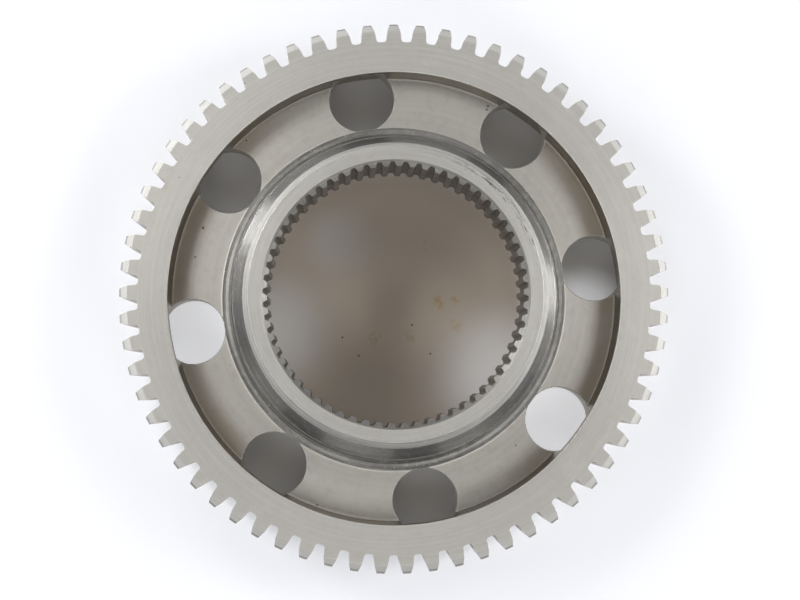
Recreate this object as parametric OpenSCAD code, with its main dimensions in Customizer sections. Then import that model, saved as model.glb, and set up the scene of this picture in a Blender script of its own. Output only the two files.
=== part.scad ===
// Planetary gear hub: one turned and hobbed steel piece.
// An outer toothed rim carries the ring gear of a hub reduction, a dished web
// with eight bored holes joins it to a raised hub, and the hub has an internal
// involute spline. The axis is Z, the part rests on the back face of the rim.

/* [Outer teeth] */
// module of the outer teeth, mm
outer_module = 4; // [3.8:0.1:4.2]
// number of outer teeth
outer_teeth = 65; // [63:1:66]
// pressure angle of the outer teeth, degrees
outer_pressure = 14.5; // [14:0.5:17]
// dedendum of the outer teeth as a share of the module
outer_dedendum = 1.4; // [1.25:0.05:1.4]
// thinning of each outer tooth at the pitch circle, mm
outer_thinning = 0.12; // [0:0.02:0.3]
// radius of the fillet in the tooth root, mm
outer_fillet = 1.5; // [1:0.1:1.7]
// radial reach of the turned chamfer on the tooth ends, mm
end_chamfer_reach = 4.4; // [3.6:0.2:5.2]
// height of the turned chamfer on the tooth ends, mm
end_chamfer_height = 2; // [1.2:0.1:3]
// radial reach of the steeper facet at the tooth tips, mm
tip_facet_reach = 1.3; // [0.8:0.1:2]
// height of the steeper facet at the tooth tips, mm
tip_facet_height = 1.8; // [1:0.1:2.6]
// turn of the first outer tooth from the X axis, degrees
outer_phase = 1.4; // [0:0.1:5.5]

/* [Rim] */
// width of the rim along the axis, mm
rim_width = 35; // [32:1:42]
// diameter of the recess in the front of the rim, mm
front_recess_dia = 220.8; // [219.6:0.2:222]
// diameter of the foot of the front recess wall, mm
front_foot_dia = 217.4; // [216:0.2:218.4]
// diameter of the recess in the back of the rim, mm
back_recess_dia = 232.4; // [232.2:0.2:234]
// edge break of the rim bores, mm
rim_break = 0.4; // [0.2:0.1:0.6]

/* [Web] */
// depth of the web below the front face of the rim, mm
web_depth = 8; // [7:0.5:9]
// thickness of the web, mm
web_thickness = 10; // [8:0.5:12]
// number of bored holes
hole_count = 8; // [6:1:10]
// diameter of a bored hole, mm
hole_dia = 31.8; // [30:0.2:32]
// pitch circle diameter of the bored holes, mm
hole_circle_dia = 199.6; // [199:0.2:200]
// turn of the first bored hole from the X axis, degrees
hole_phase = 9; // [0:0.5:44]
// steel left between the end of a bored hole and the rim's front face, mm
hole_lip = 2.4; // [1.5:0.1:3.5]
// edge break of the bored holes, mm
hole_break = 0.35; // [0.2:0.05:0.5]
// fillet between the web and the front recess wall, mm
wall_fillet = 1; // [0.6:0.1:1.6]
// fillet between the web and the back recess wall, mm
back_fillet = 4; // [2:0.5:5]

/* [Hub] */
// height of the hub above the front face of the rim, mm
hub_rise = 22.5; // [20:0.5:26]
// outer diameter of the hub's front face, mm
hub_face_dia = 138; // [136:0.5:140]
// diameter at the foot of the face chamfer, mm
hub_shoulder_dia = 144; // [142:0.5:146]
// height of the hub's face chamfer, mm
hub_chamfer_height = 5.4; // [4:0.2:7]
// diameter at the foot of the ground cone, mm
cone_foot_dia = 155.8; // [154:0.2:157]
// height of the cone's foot above the front face of the rim, mm
cone_foot_rise = 2.2; // [1:0.2:3]
// width of the small step at the cone's foot, mm
cone_step = 0.4; // [0.2:0.1:0.6]
// diameter of the ledge around the hub, mm
ledge_dia = 167.4; // [166:0.2:169]
// depth of the ledge below the front face of the rim, mm
ledge_depth = 4.2; // [3.5:0.1:5]
// fillet between the side of the ledge and the web, mm
ledge_fillet = 1; // [0.6:0.1:1.6]
// outer diameter of the boss on the back, mm
back_boss_dia = 164; // [160:1:168]
// height of the boss on the back of the web, mm
back_boss_height = 3; // [2:0.5:5]
// diameter of the relief bore behind the spline, mm
relief_dia = 130; // [128:1:136]
// chamfer of the relief bore and of the back boss, mm
back_chamfer = 1.5; // [1:0.25:2]

/* [Spline] */
// module of the internal spline, mm
spline_module = 2; // [1.94:0.02:2]
// number of spline teeth
spline_teeth = 62; // [60:1:62]
// pressure angle of the spline, degrees
spline_pressure = 30; // [28:1:30]
// diameter over the roots of the spline spaces, mm
spline_root_dia = 124.2; // [123.6:0.2:124.6]
// diameter over the spline tooth tips, mm
spline_tip_dia = 120.2; // [119.4:0.2:120.8]
// width of a spline space at the root, mm
spline_root_width = 1.9; // [1.6:0.1:2.2]
// diameter of the entry chamfer at the hub face, mm
entry_dia = 126; // [125.4:0.2:127]
// height of the entry chamfer, mm
entry_height = 1.7; // [1.2:0.1:2.4]
// height of the exit chamfer at the back end of the spline, mm
exit_height = 2.9; // [1.5:0.1:3.5]
// length of the spline from the hub face to its back end, mm
spline_length = 29.8; // [28:0.1:31]
// turn of the first spline space from the X axis, degrees
spline_phase = 4.2; // [0:0.1:5.8]

/* [Hidden] */
// clearance that carries each cutter past the face it opens
cut = 1;
// steps on one tooth flank, on one root fillet and on one spline flank
flank_steps = 5;
fillet_steps = 4;
spline_steps = 3;
// steps on one turned fillet of the section
section_steps = 5;
round_facets = 120;
hole_facets = 48;
// levels along the axis, from the back face of the rim up
rim_front = rim_width;
hub_front = rim_front + hub_rise;
web_front = rim_front - web_depth;
web_back = web_front - web_thickness;
boss_back = web_back - back_boss_height;
ledge_level = rim_front - ledge_depth;
cone_level = rim_front + cone_foot_rise;
hole_end = rim_front - hole_lip;
spline_back = hub_front - spline_length;
// radii of the outer teeth
outer_pitch_r = outer_module * outer_teeth / 2;
outer_base_r = outer_pitch_r * cos(outer_pressure);
outer_tip_r = outer_pitch_r + outer_module;
outer_root_r = outer_pitch_r - outer_dedendum * outer_module;
// radii of the spline
spline_pitch_r = spline_module * spline_teeth / 2;
spline_base_r = spline_pitch_r * cos(spline_pressure);
spline_root_r = spline_root_dia / 2;
spline_tip_r = spline_tip_dia / 2;
entry_r = entry_dia / 2;
relief_r = relief_dia / 2;
// degrees in one radian
radian = 180 / PI;

// involute function of a pressure angle, in degrees
function inv(angle) = tan(angle) * radian - angle;
// pressure angle where an involute crosses a radius, none inside its base circle
function angle_at(base, r) = acos(min(1, base / r));
// point at a radius and an angle
function polar(r, a) = [r * cos(a), r * sin(a)];

// half the angle of an outer tooth at a radius, degrees
outer_half_pitch = 90 / outer_teeth - outer_thinning / outer_pitch_r / 2 * radian;
function tooth_half(r) =
    outer_half_pitch + inv(outer_pressure) - inv(angle_at(outer_base_r, r));
// half the angle of a tooth space at a radius, degrees
function space_half(r) = 180 / outer_teeth - tooth_half(r);

// centre of a root fillet that touches the flank at a radius
function fillet_centre(r) =
    let (side = space_half(r), lean = side - 90 + angle_at(outer_base_r, r))
    polar(r, side) + outer_fillet * polar(1, lean);
// radius at which the fillet touches flank and root, found by halving
function fillet_touch(low, high, turns = 24) =
    let (middle = (low + high) / 2)
    turns == 0 ? middle
    : norm(fillet_centre(middle)) > outer_root_r + outer_fillet
        ? fillet_touch(low, middle, turns - 1)
        : fillet_touch(middle, high, turns - 1);

touch_r = fillet_touch(outer_root_r, outer_pitch_r);
touch_centre = fillet_centre(touch_r);
// directions from the fillet's centre to the root and to the flank
root_way = atan2(-touch_centre[1], -touch_centre[0]) + 360;
flank_way = space_half(touch_r) + 90 + angle_at(outer_base_r, touch_r);

// one side of a tooth space from the root up, above the X axis
space_side = concat(
    [for (i = [0:fillet_steps])
        touch_centre + polar(outer_fillet, root_way + (flank_way - root_way) * i / fillet_steps)],
    [for (i = [1:flank_steps])
        let (r = touch_r + (outer_tip_r + cut - touch_r) * i / flank_steps)
        polar(r, space_half(r))]
);

// half the angle of a spline space at a radius, degrees
spline_half_root = spline_root_width / spline_root_r / 2 * radian;
function spline_half(r) =
    spline_half_root + inv(angle_at(spline_base_r, spline_root_r)) - inv(angle_at(spline_base_r, r));

// one side of a spline space from the bore out, above the X axis
spline_start_r = spline_tip_r - cut / 2;
spline_side = [for (i = [0:spline_steps])
    let (r = spline_start_r + (spline_root_r - spline_start_r) * i / spline_steps)
    polar(r, spline_half(r))];

// mirrored and reversed side of an outline, below the X axis
function other_side(points) =
    [for (i = [len(points) - 1:-1:0]) [points[i][0], -points[i][1]]];

// quarter fillet from one corner point to the other, hollow towards the corner
function hollow(from, to, bend) = [for (i = [0:section_steps])
    let (a = 90 * i / section_steps)
    bend == 0
        ? [to[0] + (from[0] - to[0]) * (1 - sin(a)), from[1] + (to[1] - from[1]) * (1 - cos(a))]
        : [from[0] + (to[0] - from[0]) * (1 - cos(a)), to[1] + (from[1] - to[1]) * (1 - sin(a))]];

// turned section from the hub's bore round the front, the rim and the back
module section() {
    wall_top = [front_recess_dia / 2 - rim_break, rim_front - rim_break];
    wall_foot = [front_foot_dia / 2, web_front + wall_fillet];
    back_wall = back_recess_dia / 2;
    polygon(concat(
        [
            [entry_r, spline_back],
            [spline_tip_r, spline_back + exit_height],
            [spline_tip_r, hub_front - entry_height],
            [entry_r, hub_front],
            [hub_face_dia / 2, hub_front],
            [hub_shoulder_dia / 2, hub_front - hub_chamfer_height],
            [cone_foot_dia / 2, cone_level],
        ],
        hollow([cone_foot_dia / 2 + cone_step, cone_level], [ledge_dia / 2, ledge_level], 1),
        hollow([ledge_dia / 2, web_front + ledge_fillet], [ledge_dia / 2 + ledge_fillet, web_front], 1),
        hollow([wall_foot[0] - wall_fillet, web_front], wall_foot, 0),
        [
            wall_top,
            [front_recess_dia / 2, rim_front],
            [outer_tip_r - end_chamfer_reach, rim_front],
            [outer_tip_r - tip_facet_reach, rim_front - end_chamfer_height],
            [outer_tip_r, rim_front - end_chamfer_height - tip_facet_height],
            [outer_tip_r, end_chamfer_height + tip_facet_height],
            [outer_tip_r - tip_facet_reach, end_chamfer_height],
            [outer_tip_r - end_chamfer_reach, 0],
            [back_wall + rim_break, 0],
            [back_wall, rim_break],
        ],
        hollow([back_wall, web_back - back_fillet], [back_wall - back_fillet, web_back], 1),
        [
            [back_boss_dia / 2 + back_chamfer, web_back],
            [back_boss_dia / 2, web_back - back_chamfer],
            [back_boss_dia / 2, boss_back + back_chamfer / 2],
            [back_boss_dia / 2 - back_chamfer / 2, boss_back],
            [relief_r + back_chamfer, boss_back],
            [relief_r, boss_back + back_chamfer],
            [relief_r, spline_back],
        ]
    ));
}

// one space between two outer teeth, cut along the whole rim
module tooth_space() {
    translate([0, 0, -cut])
        linear_extrude(height = rim_width + 2 * cut)
            polygon(concat(space_side, other_side(space_side)));
}

// one space of the spline, cut through the hub
module spline_space() {
    translate([0, 0, spline_back - cut])
        linear_extrude(height = spline_length + 2 * cut)
            polygon(concat(spline_side, other_side(spline_side)));
}

// one hole, bored from the back and ending below the rim's front face
module web_hole() {
    translate([hole_circle_dia / 2, 0, 0]) {
        translate([0, 0, -cut])
            cylinder(h = hole_end + cut, d = hole_dia, $fn = hole_facets);
        translate([0, 0, web_front - hole_break])
            cylinder(h = 2 * hole_break, d1 = hole_dia, d2 = hole_dia + 4 * hole_break, $fn = hole_facets);
    }
}

// the whole part: turned blank, hobbed rim, bored web and broached hub
module gear_hub() {
    color("silver")
    difference() {
        rotate_extrude($fn = round_facets)
            section();
        for (i = [0:outer_teeth - 1])
            rotate([0, 0, outer_phase + 360 * (i + 0.5) / outer_teeth])
                tooth_space();
        for (i = [0:spline_teeth - 1])
            rotate([0, 0, spline_phase + 360 * i / spline_teeth])
                spline_space();
        for (i = [0:hole_count - 1])
            rotate([0, 0, hole_phase + 360 * i / hole_count])
                web_hole();
    }
}

gear_hub();
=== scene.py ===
"""Looks of the planetary gear hub: machined steel, a pale table, soft lamps and a camera.

All lengths in Blender are metres. The part's axis is Z and it rests on the table at z = 0.
"""

import math

import bpy
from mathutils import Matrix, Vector

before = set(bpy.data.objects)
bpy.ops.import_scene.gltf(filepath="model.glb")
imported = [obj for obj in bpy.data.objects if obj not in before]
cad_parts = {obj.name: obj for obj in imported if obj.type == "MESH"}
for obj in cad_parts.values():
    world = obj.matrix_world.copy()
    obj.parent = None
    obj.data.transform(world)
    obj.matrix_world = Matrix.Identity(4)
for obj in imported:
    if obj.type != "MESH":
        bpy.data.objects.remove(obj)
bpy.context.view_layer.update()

# Camera: straight above, with the part set off the middle of the view
CAMERA_AT = (-0.02105, -0.04841, 0.605)
PIXELS_PER_METRE_AT_RIM = 2063.6
RIM_DISTANCE = 0.570
IMAGE_WIDTH = 800
IMAGE_HEIGHT = 600
AXIS_VANISHES_AT = (350.5, 398.5)
SENSOR = 36.0
CLIP_START = 0.01
CLIP_END = 20.0

MM_PER_METRE = 1000.0

# Levels and radii of the part in millimetres, as in its source
RIM_FRONT = 35.0
HUB_FRONT = 57.5
WEB_FRONT = 27.0
ENTRY_R = 63.0
HUB_FACE_R = 69.0
SHOULDER_R = 72.0
SHOULDER_Z = 52.1
CONE_FOOT_R = 77.9
CONE_FOOT_Z = 37.2
LEDGE_R = 83.7
WALL_FOOT_R = 108.7
WALL_R = 110.4
BACK_WALL_R = 116.2
ROOT_R = 124.4
CHAMFER_R = 129.6
TIP_FACET_R = 132.7
HOLE_CIRCLE_R = 99.8

# Slopes that tell the faces apart, as the upright share of the normal, from and to
FLAT = (0.75, 0.95)
STEEP = (0.30, 0.50)
UPWARD = (0.30, 0.60)
END_CHAMFER_SLOPE = (0.72, 0.97)
TIP_FACET_SLOPE = (0.45, 0.72)
ENTRY_SLOPE = (0.50, 0.95)
HOLE_EDGE_SLOPE = (0.50, 0.85)

# Noise on the steel: scale per millimetre, detail, roughness and distortion
FINE_RINGS = (5.5, 2.0, 0.7)
BROAD_RINGS = (0.9, 1.0, 0.5)
SOFT_RINGS = (0.28, 1.0, 0.5)
GRAIN = (2.6, 2.0, 0.7)
CLOUD = (0.035, 2.0, 0.55)
MOTTLE = (0.25, 2.0, 0.6)
BROACH_MARKS = (6.0, 2.0, 0.6)
HOB_MARKS = (2.2, 2.0, 0.6)
SCRATCH_LINES = (1.1, 1.0, 0.4)
SCRATCH_PLACES = (0.055, 1.0)
NICK_SHAPES = (0.9, 3.0, 0.75, 0.6)

# Stretch of that noise: rings up the axis and round it, and the marks that run along one way
RINGS_UP_AXIS = 1.31
RINGS_ROUND = 2.0
SOFT_RINGS_ROUND = 0.3
BROACH_LENGTHWAYS = 0.03
HOB_LENGTHWAYS = 0.15
SCRATCH_ACROSS = (0.9, 0.45)
SCRATCH_LENGTHWAYS = 0.06
NICKS_PER_MM = 1.7
NICKS_PER_RADIAN = 11.0

# Levels of that noise between which a mark sets in, and the narrow band that is a scratch
MOTTLE_LEVELS = (0.45, 0.75)
PALE_RING_LEVELS = (0.40, 0.70)
DARK_RING_LEVELS = (0.35, 0.65)
GRAIN_LEVELS = (0.30, 0.70)
NICK_LEVELS = (0.52, 0.57)
SCRATCH_LEVELS = (0.50, 0.62)
SCRATCH_BAND = (0.497, 0.503, 0.003)

# Painted shadow of the rim wall on the web, at its left and right sides: radii and distance
# sideways in millimetres, and cloud levels and shares
WALL_SHADOW_RADII = (95.0, 107.0)
WALL_SHADOW_SIDEWAYS = (40.0, 85.0)
WALL_SHADOW_CLOUDS = (0.30, 0.70, 0.60, 1.00)

# Dots: cells per mm, inner and outer size in cells, and scale, start and end of their noise
PITS = (0.085, 0.025, 0.050, 0.09, 0.50, 0.56)
SPECKS = (0.33, 0.07, 0.12, 0.11, 0.60, 0.66)
DUST = (0.55, 0.12, 0.18, 0.30, 0.52, 0.56)
DUST_ON_LEDGE = 0.6

# Single pits on the front: full inner share, unevenness, and x, y and size in millimetres
MARK_CORE = 0.6
MARK_UNEVEN = 0.6
MARKS = (
    (-93.5, 35.4, 0.9),
    (-37.5, -100.7, 0.7),
    (46.5, 95.3, 0.8),
    (45.9, 93.6, 0.6),
    (-72.2, 78.3, 0.6),
    (-105.8, -24.6, 0.6),
    (-97.4, 21.1, 0.6),
)

# Nicks on the hub's edge: the side in degrees where they are strongest, and their shares
NICK_SIDE = (18, 62)
NICK_SIDE_SOFT = 0.15
NICKS_ON_SIDE = 0.85
NICKS_ELSEWHERE = 0.10

# Reach of the nicks in millimetres: inward, outward, soft end and down the chamfer
NICKS_INWARD = 2.2
NICKS_OUTWARD = 0.4
NICKS_SOFT = 0.9
NICKS_DOWN = 3

# Plain steel, and what is laid over it in this order: mask, share and colour. The face tones from
# rim_face to entry are painted light and shade: the one steel is made lighter or darker face by
# face for how the light falls on it. painted_wall_shadow is a painted shadow,
# painted_hole_edge_shade and foot are painted shade, and painted_edge_highlight is a painted
# highlight.
STEEL_DARK = (0.560, 0.545, 0.510)
STEEL_LIGHT = (0.620, 0.605, 0.572)
STEEL_MARKS_AND_PAINTED_LIGHT = (
    ("rim_face", 0.90, (0.495, 0.480, 0.450)),
    ("web", 0.80, (0.675, 0.648, 0.596)),
    ("hub_face", 0.90, (0.491, 0.479, 0.452)),
    ("hub_chamfer", 0.80, (0.187, 0.184, 0.177)),
    ("cone", 0.90, (0.102, 0.102, 0.101)),
    ("ledge", 0.90, (0.067, 0.065, 0.059)),
    ("wall", 0.85, (0.225, 0.203, 0.168)),
    ("hole_wall", 0.80, (0.361, 0.327, 0.278)),
    ("end_chamfer", 0.90, (0.354, 0.350, 0.337)),
    ("tip_facet", 0.90, (0.191, 0.188, 0.180)),
    ("gear_side", 0.80, (0.420, 0.408, 0.385)),
    ("spline_side", 0.92, (0.139, 0.122, 0.106)),
    ("entry", 0.90, (0.219, 0.214, 0.198)),
    ("mottle", 0.22, (0.420, 0.390, 0.340)),
    ("pale_rings", 0.14, (0.720, 0.710, 0.680)),
    ("dark_rings", 0.12, (0.400, 0.385, 0.350)),
    ("web_rings", 0.22, (0.500, 0.490, 0.460)),
    ("painted_wall_shadow", 0.75, (0.420, 0.345, 0.250)),
    ("painted_hole_edge_shade", 0.80, (0.140, 0.135, 0.125)),
    ("foot", 0.50, (0.200, 0.185, 0.165)),
    ("pits", 0.85, (0.100, 0.085, 0.070)),
    ("specks", 0.60, (0.160, 0.130, 0.100)),
    ("nicks", 0.97, (0.035, 0.032, 0.030)),
    ("dust", 0.90, (0.620, 0.620, 0.610)),
    ("scratches", 0.35, (0.800, 0.790, 0.770)),
    ("painted_edge_highlight", 0.30, (0.800, 0.790, 0.770)),
)

# Roughness of plain steel, from and to, and of what is laid over it: mask, share and value
STEEL_ROUGHNESS = (0.54, 0.62)
RING_ROUGHNESS = 0.22
LEAST_ROUGHNESS = 0.2
PIT_ROUGHNESS_SHARE = 0.8
ROUGHNESS = (
    ("web", 0.8, 0.52),
    ("ledge", 0.9, 0.50),
    ("wall", 0.9, 0.28),
    ("cone", 0.9, 0.30),
    ("hub_chamfer", 0.9, 0.76),
    ("tooth_ends", 0.9, 0.80),
    ("pits_and_dust", 1.0, 0.80),
)

# Stretch of the highlight by the turned lay, and of what is laid over it: mask and value
TURNED_STRETCH = 0.30
STRETCH_TURN = 0.25
STRETCH = (
    ("web", 0.40),
    ("hub_chamfer", 0.10),
    ("ledge", 0.20),
    ("entry", 0.85),
    ("cone", 0.93),
)

# Bump: its strength and depth in metres, and the height of each mark, below zero where sunk
BUMP_STRENGTH = 0.45
BUMP_DEPTH = 0.00006
RING_HEIGHT = 0.60
RING_HEIGHT_LOST_ON_CONE = 0.45
HEIGHTS = (
    ("grain", 0.30),
    ("hob_marks", 0.90),
    ("broach_marks", 0.90),
    ("pits", -2.5),
    ("nicks", -1.5),
    ("scratches", -0.5),
)

# Rounding that the light sees on edges, in metres
EDGE_ROUNDING = 0.00028
EDGE_SAMPLES = 3
# Agreement of the rounded and the flat normal over which the painted edge highlight sets in
EDGE_HIGHLIGHT_LEVELS = (0.90, 0.995)

# How much of the metal look dust and nicks take away
METAL_LOST = 0.9

# Table: size and level in metres, roughness, and its colours with their radii in millimetres. Its
# colours under the part are painted shade and painted reflection: dark and warm under the hub,
# paler under the web.
TABLE_SIZE = 6.0
TABLE_LEVEL = -0.0002
TABLE_ROUGHNESS = 0.55
TABLE_CLOUD = (0.018, 2.0, 0.5)
TABLE_GRAIN = (0.22, 3.0, 0.6)
TABLE_PAINTED_SHADE_MIDDLE = (0.660, 0.575, 0.485)
TABLE_PAINTED_SHADE_RINGS = (
    (8.0, 50.0, (0.500, 0.437, 0.372)),
    (62.0, 82.0, (0.720, 0.713, 0.705)),
    (118.0, 126.0, (0.580, 0.588, 0.620)),
)

# Painted light: paler, cooler patches of the table seen through the bore: x, y and size in
# millimetres, and strength
PAINTED_LIGHT_COLOUR = (0.600, 0.605, 0.625)
PATCH_UNEVEN = 14.0
PATCH_CORE = 0.2
PAINTED_LIGHT_PATCHES = (
    (-28.5, 31.1, 24.0, 0.45),
    (-62.0, -14.0, 42.0, 0.55),
    (54.0, -38.0, 46.0, 0.50),
)

# Drops of dried oil: x, y and size in millimetres
OIL_COLOUR = (0.500, 0.340, 0.140)
OIL_SHARE = 0.85
OIL_SPREAD = 1.6
OIL_LEVELS = (0.42, 0.60)
STAINS = (
    (24.0, 0.7, 4.0),
    (32.8, 2.3, 2.5),
    (18.8, 30.0, 3.0),
    (32.7, -10.6, 3.0),
    (-8.4, -17.3, 3.0),
    (8.5, -16.8, 3.0),
)

# Dark specks on the table seen through the bore: x and y in millimetres
SPECK_COLOUR = (0.060, 0.050, 0.045)
SPECK_SHARE = 0.8
SPECK_SIZE = (0.3, 0.8)
TABLE_SPECKS = (
    (10.5, -10.6),
    (20.0, -25.4),
    (-16.8, -26.4),
    (-25.2, -17.0),
)

# Backdrop: radius and height in metres, number of sides, two diffuse colours and brightness
BACKDROP_RADIUS = 2.9
BACKDROP_HEIGHT = 2.4
BACKDROP_SIDES = 128
BACKDROP_CLOUD = (0.8, 2.0, 0.5)
BACKDROP_COLOURS = ((0.30, 0.30, 0.31), (0.33, 0.33, 0.34))
BACKDROP_WHITE = 0.93
BACKDROP_WHITE_COLOUR = (0.97, 0.98, 1.0)

# White of the table for the eye: radii in millimetres over which it sets in, and strength. The
# first, faint ring is painted light on the table under the web and its holes.
TABLE_WHITE_COLOUR = (0.945, 0.962, 1.0)
WHITE_RINGS = (
    (66.0, 84.0, 0.035),
    (117.0, 126.0, 0.325),
    (700.0, 2400.0, BACKDROP_WHITE),
)

# Painted light on the table behind two of the holes: their angles in degrees, strength, and radii
# in millimetres
PALE_HOLES = (189.0, 324.0)
HOLE_WHITE = 0.54
HOLE_WHITE_SIZE = (20.0, 26.0)

# Soft glows on the table: x, y and size in millimetres, and strength
GLOW_CORE = 4.0
GLOWS = (
    (99.0, -3.0, 30.0, 0.36),
    (58.0, -34.0, 44.0, 0.15),
    (-66.0, -14.0, 38.0, 0.06),
)

# Lamps: direction and elevation in degrees, width and height in metres, power in watts
LAMP_DISTANCE = 1.4
LAMP_AIM = Vector((0.0, 0.0, 0.03))
LAMPS = (
    (153, 32, 0.40, 0.40, 6.2),
    (176, 32, 0.45, 0.45, 4.0),
    (4, 32, 0.40, 0.40, 5.6),
    (342, 32, 0.45, 0.45, 2.2),
    (121, 32, 0.45, 0.45, 3.9),
    (31, 32, 0.45, 0.45, 3.0),
    (211, 32, 0.45, 0.45, 3.7),
    (301, 32, 0.45, 0.45, 4.5),
    (256, 32, 0.45, 0.45, 2.1),
    (76, 52, 0.50, 0.50, 1.7),
    (256, 52, 0.50, 0.50, 1.9),
    (8, 3.5, 0.40, 0.12, 16.0),
    (147, 3.5, 0.40, 0.12, 17.0),
)

# Faint warm light of the room
ROOM_COLOUR = (1.0, 0.78, 0.55, 1.0)
ROOM_STRENGTH = 0.02


class Nodes:
    """Short calls for building one material's node tree."""

    def __init__(self, name):
        self.material = bpy.data.materials.new(name)
        self.material.use_nodes = True
        self.tree = self.material.node_tree
        self.tree.nodes.clear()

    def new(self, kind, **values):
        node = self.tree.nodes.new(kind)
        for key, value in values.items():
            setattr(node, key, value)
        return node

    def put(self, value, socket):
        """Link a socket's value, or set a plain one."""
        if isinstance(value, bpy.types.NodeSocket):
            self.tree.links.new(value, socket)
        else:
            socket.default_value = value

    def fill(self, node, values):
        """Link or set the inputs of a node by their names or numbers."""
        for name, value in values.items():
            self.put(value, node.inputs[name])
        return node

    def math(self, operation, *inputs):
        node = self.new("ShaderNodeMath", operation=operation)
        for value, socket in zip(inputs, node.inputs):
            self.put(value, socket)
        return node.outputs[0]

    def chain(self, operation, first, *others):
        for other in others:
            first = self.math(operation, first, other)
        return first

    def add(self, *values):
        return self.chain("ADD", *values)

    def mul(self, *values):
        return self.chain("MULTIPLY", *values)

    def largest(self, *values):
        return self.chain("MAXIMUM", *values)

    def sub(self, a, b):
        return self.math("SUBTRACT", a, b)

    def vector(self, x, y, z):
        return self.fill(self.new("ShaderNodeCombineXYZ"), {"X": x, "Y": y, "Z": z}).outputs[0]

    def split(self, vector):
        return self.fill(self.new("ShaderNodeSeparateXYZ"), {0: vector}).outputs

    def measure(self):
        """Place on the object in millimetres: mm, x, y, z and the distance r from the axis."""
        place = self.new("ShaderNodeTexCoord").outputs["Object"]
        scaled = self.new("ShaderNodeVectorMath", operation="SCALE")
        self.mm = self.fill(scaled, {0: place, "Scale": MM_PER_METRE}).outputs[0]
        self.x, self.y, self.z = self.split(self.mm)
        squares = self.add(self.mul(self.x, self.x), self.mul(self.y, self.y))
        self.r = self.math("SQRT", squares)

    def away(self, place, x, y):
        """Distance of a place from a point at level zero."""
        node = self.new("ShaderNodeVectorMath", operation="DISTANCE")
        return self.fill(node, {0: place, 1: (x, y, 0.0)}).outputs["Value"]

    def ramp(self, value, low, high, to_low=0.0, to_high=1.0):
        """Smooth step from to_low at low to to_high at high."""
        node = self.new("ShaderNodeMapRange", interpolation_type="SMOOTHSTEP")
        limits = {"From Min": low, "From Max": high, "To Min": to_low, "To Max": to_high}
        return self.fill(node, {"Value": value, **limits}).outputs["Result"]

    def fall(self, value, low, high, height=1.0):
        """Smooth step from height at low down to zero at high."""
        return self.ramp(value, low, high, height, 0.0)

    def band(self, value, low, high, soft):
        """One between low and high, zero outside, with soft ends."""
        rise = self.ramp(value, low - soft, low + soft)
        return self.mul(rise, self.fall(value, high - soft, high + soft))

    def noise(self, vector, scale, detail=2.0, roughness=0.5, distortion=0.0):
        shape = {"Detail": detail, "Roughness": roughness, "Distortion": distortion}
        node = self.new("ShaderNodeTexNoise")
        return self.fill(node, {"Vector": vector, "Scale": scale, **shape}).outputs["Fac"]

    def dots(self, scale, inner, outer, noise_scale, start, end):
        """Round dots, one in each random cell, kept where a slower noise is high."""
        node = self.new("ShaderNodeTexVoronoi")
        distance = self.fill(node, {"Vector": self.mm, "Scale": scale}).outputs["Distance"]
        places = self.ramp(self.noise(self.mm, noise_scale, 1.0), start, end)
        return self.mul(self.fall(distance, inner, outer), places)

    def blend(self, share, a, b):
        """Mix two colours. The node's colour inputs are 6 and 7, and its colour output is 2."""
        a, b = [(*colour, 1.0) if isinstance(colour, tuple) else colour for colour in (a, b)]
        node = self.new("ShaderNodeMix", data_type="RGBA")
        return self.fill(node, {"Factor": share, 6: a, 7: b}).outputs[2]

    def blend_value(self, share, a, b):
        """Mix two values. The node's value inputs are 2 and 3, and its value output is 0."""
        node = self.new("ShaderNodeMix", data_type="FLOAT")
        return self.fill(node, {"Factor": share, 2: a, 3: b}).outputs[0]

    def whiten(self, surface, colour, strength):
        """Add white for the eye and for reflections alone, which lights nothing itself."""
        path = self.new("ShaderNodeLightPath").outputs
        seen = self.largest(
            path["Is Camera Ray"], path["Is Glossy Ray"], path["Is Transmission Ray"]
        )
        light = {"Color": (*colour, 1.0), "Strength": self.mul(seen, strength)}
        white = self.fill(self.new("ShaderNodeEmission"), light)
        self.material.cycles.emission_sampling = "NONE"
        total = self.new("ShaderNodeAddShader")
        return self.fill(total, {0: surface, 1: white.outputs[0]}).outputs[0]

    def finish(self, shader):
        self.fill(self.new("ShaderNodeOutputMaterial"), {"Surface": shader})
        return self.material


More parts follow.
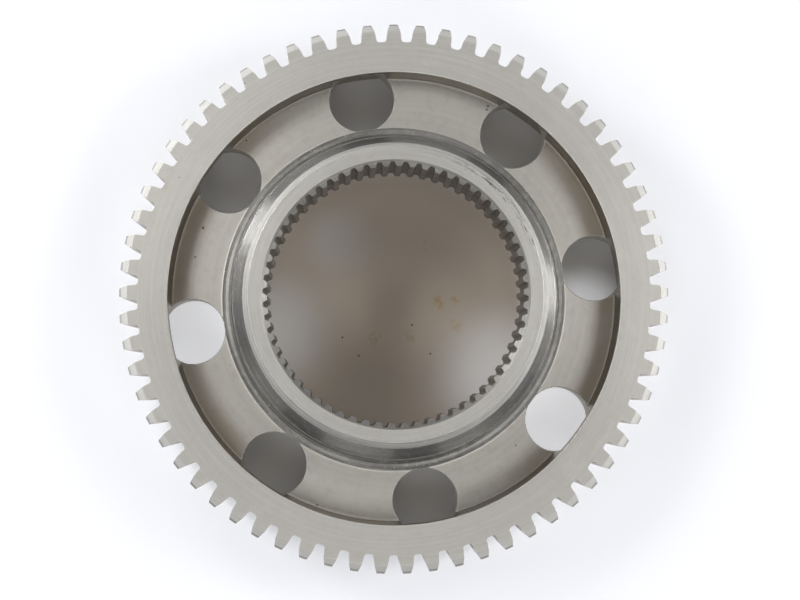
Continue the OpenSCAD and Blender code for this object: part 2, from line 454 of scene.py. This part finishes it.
def regions(n, nz):
    """Masks of the part's regions, by radius, height and slope, with soft ends."""
    slope = n.math("ABSOLUTE", nz)
    flat = n.ramp(slope, *FLAT)
    steep = n.sub(1.0, n.ramp(slope, *STEEP))
    in_bore = n.fall(n.r, ENTRY_R + 0.1, ENTRY_R + 0.3)
    near_front = n.ramp(n.z, HUB_FRONT - 4, HUB_FRONT - 3)
    under_web = n.fall(n.z, WEB_FRONT - 0.2, WEB_FRONT + 0.1)
    above_web = n.band(n.z, WEB_FRONT + 0.04, WEB_FRONT + 2, 0.03)
    wall_foot = n.band(n.r, WALL_FOOT_R - 1.4, WALL_R, 0.2)
    ledge_foot = n.band(n.r, LEDGE_R - 0.1, LEDGE_R + 1.4, 0.2)
    masks = {
        "flat": flat,
        "gear_side": n.mul(n.ramp(n.r, ROOT_R - 0.4, ROOT_R + 0.2), steep),
        "end_chamfer": n.mul(
            n.ramp(n.r, CHAMFER_R - 0.1, CHAMFER_R + 0.1),
            n.band(nz, *END_CHAMFER_SLOPE, 0.03),
        ),
        "tip_facet": n.mul(
            n.ramp(n.r, TIP_FACET_R - 0.1, TIP_FACET_R + 0.1),
            n.band(nz, *TIP_FACET_SLOPE, 0.03),
        ),
        "rim_face": n.mul(
            n.ramp(n.r, WALL_R - 0.3, WALL_R),
            n.band(n.z, RIM_FRONT - 0.3, RIM_FRONT + 3, 0.1),
        ),
        "wall": n.mul(
            n.band(n.r, WALL_FOOT_R - 0.6, WALL_R, 0.2),
            n.band(n.z, WEB_FRONT, RIM_FRONT, 0.4),
            steep,
        ),
        "web": n.mul(
            n.band(n.r, LEDGE_R + 0.5, WALL_R, 0.4),
            n.band(n.z, WEB_FRONT - 3, WEB_FRONT + 1.5, 0.6),
            flat,
        ),
        "ledge": n.mul(
            n.band(n.r, CONE_FOOT_R, LEDGE_R, 0.15),
            n.band(n.z, WEB_FRONT + 3.5, CONE_FOOT_Z + 0.2, 0.2),
        ),
        "cone": n.mul(
            n.band(n.r, SHOULDER_R - 0.1, CONE_FOOT_R + 0.2, 0.15),
            n.band(n.z, CONE_FOOT_Z, SHOULDER_Z, 0.15),
        ),
        "hub_chamfer": n.mul(
            n.band(n.r, HUB_FACE_R, SHOULDER_R, 0.1),
            n.band(n.z, SHOULDER_Z, HUB_FRONT - 0.05, 0.1),
        ),
        "hub_face": n.mul(
            n.band(n.r, 0, HUB_FACE_R, 0.1),
            n.ramp(n.z, HUB_FRONT - 0.2, HUB_FRONT - 0.05),
        ),
        "spline_side": n.mul(in_bore, steep),
        "entry": n.mul(in_bore, n.band(nz, *ENTRY_SLOPE, 0.04), near_front),
        "hole_wall": n.mul(n.band(n.r, LEDGE_R - 0.5, BACK_WALL_R, 0.2), steep, under_web),
        # Painted shade: the chamfers round the holes' front edges are darkened
        "painted_hole_edge_shade": n.mul(
            n.band(n.r, LEDGE_R - 0.6, BACK_WALL_R, 0.2),
            n.band(nz, *HOLE_EDGE_SLOPE, 0.05),
            n.band(n.z, WEB_FRONT - 0.6, WEB_FRONT + 0.1, 0.1),
        ),
        # Painted shade in the corners where the rim wall and the ledge meet the web
        "foot": n.largest(n.mul(wall_foot, above_web), n.mul(ledge_foot, above_web)),
    }
    masks["tooth_ends"] = n.largest(masks["end_chamfer"], masks["tip_facet"])
    masks["turned"] = n.sub(
        1.0, n.largest(masks["gear_side"], masks["spline_side"], masks["hole_wall"])
    )
    return masks


def finishes(n, masks, angle):
    """Masks of the turned, broached and hobbed lay, of uneven tone, and of the painted shadow of
    the rim wall on the web.
    """
    along = n.add(n.r, n.mul(n.z, RINGS_UP_AXIS))
    ring_x = n.mul(n.math("COSINE", angle), RINGS_ROUND)
    ring_y = n.mul(n.math("SINE", angle), RINGS_ROUND)
    ring_place = n.vector(along, ring_x, ring_y)
    soft_place = n.vector(along, n.mul(ring_x, SOFT_RINGS_ROUND), n.mul(ring_y, SOFT_RINGS_ROUND))
    broach_place = n.vector(n.x, n.y, n.mul(n.z, BROACH_LENGTHWAYS))
    hob_place = n.vector(n.mul(n.x, HOB_LENGTHWAYS), n.mul(n.y, HOB_LENGTHWAYS), n.z)
    rings = n.noise(ring_place, *FINE_RINGS)
    cloud = n.noise(n.mm, *CLOUD)
    soft_rings = n.ramp(n.noise(soft_place, *SOFT_RINGS), *PALE_RING_LEVELS)
    return {
        "rings": rings,
        "cloud": cloud,
        "grain": n.noise(n.mm, *GRAIN),
        "mottle": n.ramp(n.noise(n.mm, *MOTTLE), *MOTTLE_LEVELS),
        "pale_rings": n.ramp(n.noise(ring_place, *BROAD_RINGS), *PALE_RING_LEVELS),
        "dark_rings": n.mul(n.ramp(rings, *DARK_RING_LEVELS), masks["flat"]),
        "web_rings": n.mul(soft_rings, masks["web"]),
        "broach_marks": n.mul(n.noise(broach_place, *BROACH_MARKS), masks["spline_side"]),
        "hob_marks": n.mul(n.noise(hob_place, *HOB_MARKS), masks["gear_side"]),
        # Painted shadow of the rim wall on the web, warm and strongest at the left and right
        "painted_wall_shadow": n.mul(
            masks["web"],
            n.ramp(n.r, *WALL_SHADOW_RADII),
            n.ramp(cloud, *WALL_SHADOW_CLOUDS),
            n.ramp(n.math("ABSOLUTE", n.x), *WALL_SHADOW_SIDEWAYS),
        ),
    }


def wear(n, masks, angle, nz):
    """Masks of pits, specks, dust, scratches and nicks."""
    # Pits in random places, and the single ones with an uneven edge
    pits = n.dots(*PITS)
    front = n.vector(n.x, n.y, 0.0)
    uneven = n.mul(n.sub(masks["grain"], 0.5), MARK_UNEVEN)
    upward = n.ramp(nz, *UPWARD)
    for mark_x, mark_y, size in MARKS:
        reach = n.add(n.away(front, mark_x, mark_y), uneven)
        pits = n.largest(pits, n.mul(n.fall(reach, size * MARK_CORE, size), upward))
    dusty = n.largest(masks["cone"], n.mul(masks["ledge"], DUST_ON_LEDGE))
    dust = n.mul(n.dots(*DUST), dusty)

    # Fine scratches, each a thin line across the lay
    more, less = SCRATCH_ACROSS
    scratch_place = n.vector(
        n.add(n.mul(n.x, more), n.mul(n.y, less)),
        n.mul(n.sub(n.mul(n.x, less), n.mul(n.y, more)), SCRATCH_LENGTHWAYS),
        n.mul(n.z, SCRATCH_LENGTHWAYS),
    )
    lines = n.band(n.noise(scratch_place, *SCRATCH_LINES), *SCRATCH_BAND)
    scratches = n.mul(lines, n.ramp(n.noise(n.mm, *SCRATCH_PLACES), *SCRATCH_LEVELS))

    # Nicks along the outer edge of the hub's face
    side = n.band(angle, *map(math.radians, NICK_SIDE), NICK_SIDE_SOFT)
    nick_place = n.vector(n.mul(n.r, NICKS_PER_MM), n.mul(angle, NICKS_PER_RADIAN), 0.0)
    nicks = n.mul(
        n.ramp(n.noise(nick_place, *NICK_SHAPES), *NICK_LEVELS),
        n.band(n.r, HUB_FACE_R - NICKS_INWARD, HUB_FACE_R + NICKS_OUTWARD, NICKS_SOFT),
        n.add(n.mul(side, NICKS_ON_SIDE), NICKS_ELSEWHERE),
        n.ramp(n.z, SHOULDER_Z, SHOULDER_Z + NICKS_DOWN),
    )
    return {
        "pits": pits,
        "specks": n.dots(*SPECKS),
        "dust": dust,
        "pits_and_dust": n.largest(n.mul(pits, PIT_ROUGHNESS_SHARE), dust),
        "scratches": scratches,
        "nicks": nicks,
    }


def steel():
    n = Nodes("machined_steel")
    n.measure()
    angle = n.math("ARCTAN2", n.y, n.x)
    normal = n.new("ShaderNodeNewGeometry").outputs["True Normal"]
    nz = n.split(normal)["Z"]
    masks = regions(n, nz)
    masks.update(finishes(n, masks, angle))
    masks.update(wear(n, masks, angle, nz))

    # Painted highlight: the edges are made paler where the rounded normal leaves the flat one
    rounded = n.new("ShaderNodeBevel", samples=EDGE_SAMPLES)
    rounded = n.fill(rounded, {"Radius": EDGE_ROUNDING}).outputs[0]
    agreement = n.new("ShaderNodeVectorMath", operation="DOT_PRODUCT")
    agreement = n.fill(agreement, {0: rounded, 1: normal}).outputs["Value"]
    no_edge_highlight = n.largest(masks["foot"], masks["painted_hole_edge_shade"], masks["entry"])
    masks["painted_edge_highlight"] = n.mul(n.fall(agreement, *EDGE_HIGHLIGHT_LEVELS), n.sub(1.0, no_edge_highlight))

    base = n.blend(masks["cloud"], STEEL_DARK, STEEL_LIGHT)
    # The face tones laid here are painted light and shade, as are the painted shadow, the edge
    # and corner shade and the edge highlight; the rest are the steel's own marks
    for name, share, colour in STEEL_MARKS_AND_PAINTED_LIGHT:
        base = n.blend(n.mul(masks[name], share), base, colour)

    rough = n.ramp(masks["grain"], *GRAIN_LEVELS, *STEEL_ROUGHNESS)
    rough = n.add(rough, n.mul(n.sub(masks["rings"], 0.5), RING_ROUGHNESS))
    for name, share, value in ROUGHNESS:
        rough = n.blend_value(n.mul(masks[name], share), rough, value)

    end_loss = n.mul(masks["end_chamfer"], TURNED_STRETCH)
    stretch = n.mul(masks["turned"], n.sub(TURNED_STRETCH, end_loss))
    for name, value in STRETCH:
        stretch = n.blend_value(masks[name], stretch, value)

    ring_height = n.sub(RING_HEIGHT, n.mul(masks["cone"], RING_HEIGHT_LOST_ON_CONE))
    height = n.mul(masks["rings"], masks["turned"], ring_height)
    for name, part in HEIGHTS:
        height = n.add(height, n.mul(masks[name], part))
    bump = n.fill(
        n.new("ShaderNodeBump"),
        {"Strength": BUMP_STRENGTH, "Distance": BUMP_DEPTH, "Height": height, "Normal": rounded},
    )

    covered = n.largest(masks["dust"], masks["nicks"])
    lay = n.new("ShaderNodeTangent", direction_type="RADIAL", axis="Z")
    shader = n.fill(
        n.new("ShaderNodeBsdfPrincipled"),
        {
            "Base Color": base,
            "Roughness": n.largest(rough, LEAST_ROUGHNESS),
            "Metallic": n.sub(1.0, n.mul(covered, METAL_LOST)),
            "Normal": bump.outputs[0],
            "Tangent": lay.outputs[0],
            "Anisotropic": stretch,
            "Anisotropic Rotation": STRETCH_TURN,
        },
    )
    return n.finish(shader.outputs[0])


def table_top():
    n = Nodes("pale_table")
    n.measure()
    cloud = n.noise(n.mm, *TABLE_CLOUD)
    grain = n.noise(n.mm, *TABLE_GRAIN)

    # Painted shade and reflection: a dark, warm middle under the hub, paler outwards; and a few
    # dried oil stains
    base = TABLE_PAINTED_SHADE_MIDDLE
    for near, far, colour in TABLE_PAINTED_SHADE_RINGS:
        base = n.blend(n.ramp(n.r, near, far), base, colour)
    # Painted light: paler, cooler patches under the bore
    for x, y, size, share in PAINTED_LIGHT_PATCHES:
        reach = n.add(n.away(n.mm, x, y), n.mul(n.sub(cloud, 0.5), PATCH_UNEVEN))
        base = n.blend(n.fall(reach, size * PATCH_CORE, size, share), base, PAINTED_LIGHT_COLOUR)
    for x, y, size in STAINS:
        stain = n.fall(n.away(n.mm, x, y), 0.0, size * OIL_SPREAD)
        spread = n.mul(stain, n.ramp(grain, *OIL_LEVELS), OIL_SHARE)
        base = n.blend(spread, base, OIL_COLOUR)
    for x, y in TABLE_SPECKS:
        speck = n.fall(n.away(n.mm, x, y), *SPECK_SIZE)
        base = n.blend(n.mul(speck, SPECK_SHARE), base, SPECK_COLOUR)

    # White outside the part and far out; painted light under the web, behind two of the holes and
    # in the glows
    whites = [n.ramp(n.r, near, far, 0.0, white) for near, far, white in WHITE_RINGS]
    for hole_angle in map(math.radians, PALE_HOLES):
        hole = (HOLE_CIRCLE_R * math.cos(hole_angle), HOLE_CIRCLE_R * math.sin(hole_angle))
        whites.append(n.fall(n.away(n.mm, *hole), *HOLE_WHITE_SIZE, HOLE_WHITE))
    for x, y, size, glow in GLOWS:
        whites.append(n.fall(n.away(n.mm, x, y), GLOW_CORE, size, glow))

    shader = n.new("ShaderNodeBsdfPrincipled")
    n.fill(shader, {"Base Color": base, "Roughness": TABLE_ROUGHNESS})
    return n.finish(n.whiten(shader.outputs[0], TABLE_WHITE_COLOUR, n.largest(*whites)))


def backdrop():
    n = Nodes("pale_backdrop")
    cloud = n.noise(n.new("ShaderNodeTexCoord").outputs["Object"], *BACKDROP_CLOUD)
    shader = n.new("ShaderNodeBsdfDiffuse")
    n.fill(shader, {"Color": n.blend(cloud, *BACKDROP_COLOURS)})
    return n.finish(n.whiten(shader.outputs[0], BACKDROP_WHITE_COLOUR, BACKDROP_WHITE))


def lamp(azimuth, elevation, width, height, power):
    """Soft lamp at a direction and elevation in degrees, turned to the part."""
    name = f"lamp_{azimuth}_{elevation}"
    data = bpy.data.lights.new(name, "AREA")
    data.shape = "RECTANGLE"
    data.size = width
    data.size_y = height
    data.energy = power
    turn = math.radians(azimuth)
    rise = math.radians(elevation)
    across = LAMP_DISTANCE * math.cos(rise)
    place = (across * math.cos(turn), across * math.sin(turn), LAMP_DISTANCE * math.sin(rise))
    lamp_object = bpy.data.objects.new(name, data)
    lamp_object.location = place
    way = LAMP_AIM - Vector(place)
    lamp_object.rotation_euler = way.to_track_quat("-Z", "Y").to_euler()
    bpy.context.scene.collection.objects.link(lamp_object)


gear_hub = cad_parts["gear_hub"]
finish = steel()
for slot in gear_hub.material_slots:
    slot.material = finish

# Table
bpy.ops.mesh.primitive_plane_add(size=TABLE_SIZE, location=(0.0, 0.0, TABLE_LEVEL))
table = bpy.context.object
table.name = "table"
table.data.materials.append(table_top())

# Round backdrop, well outside the lamps
bpy.ops.mesh.primitive_cylinder_add(
    vertices=BACKDROP_SIDES,
    radius=BACKDROP_RADIUS,
    depth=BACKDROP_HEIGHT,
    end_fill_type="NOTHING",
    location=(0.0, 0.0, BACKDROP_HEIGHT / 2),
)
screen = bpy.context.object
screen.name = "backdrop"
bpy.ops.object.shade_smooth()
screen.data.materials.append(backdrop())

# Soft lamps in a ring round the part, with two small ones close to the table
for settings in LAMPS:
    lamp(*settings)
world = bpy.data.worlds.new("room")
bpy.context.scene.world = world
world.use_nodes = True
room = world.node_tree.nodes["Background"]
room.inputs["Color"].default_value = ROOM_COLOUR
room.inputs["Strength"].default_value = ROOM_STRENGTH

# Camera
camera_data = bpy.data.cameras.new("camera")
camera_data.sensor_fit = "HORIZONTAL"
camera_data.sensor_width = SENSOR
camera_data.lens = PIXELS_PER_METRE_AT_RIM * RIM_DISTANCE / IMAGE_WIDTH * SENSOR
camera_data.shift_x = (IMAGE_WIDTH / 2 - AXIS_VANISHES_AT[0]) / IMAGE_WIDTH
camera_data.shift_y = (AXIS_VANISHES_AT[1] - IMAGE_HEIGHT / 2) / IMAGE_WIDTH
camera_data.clip_start = CLIP_START
camera_data.clip_end = CLIP_END
camera = bpy.data.objects.new("camera", camera_data)
camera.location = CAMERA_AT
bpy.context.scene.collection.objects.link(camera)
bpy.context.scene.camera = camera

bpy.context.scene.view_settings.view_transform = "Standard"
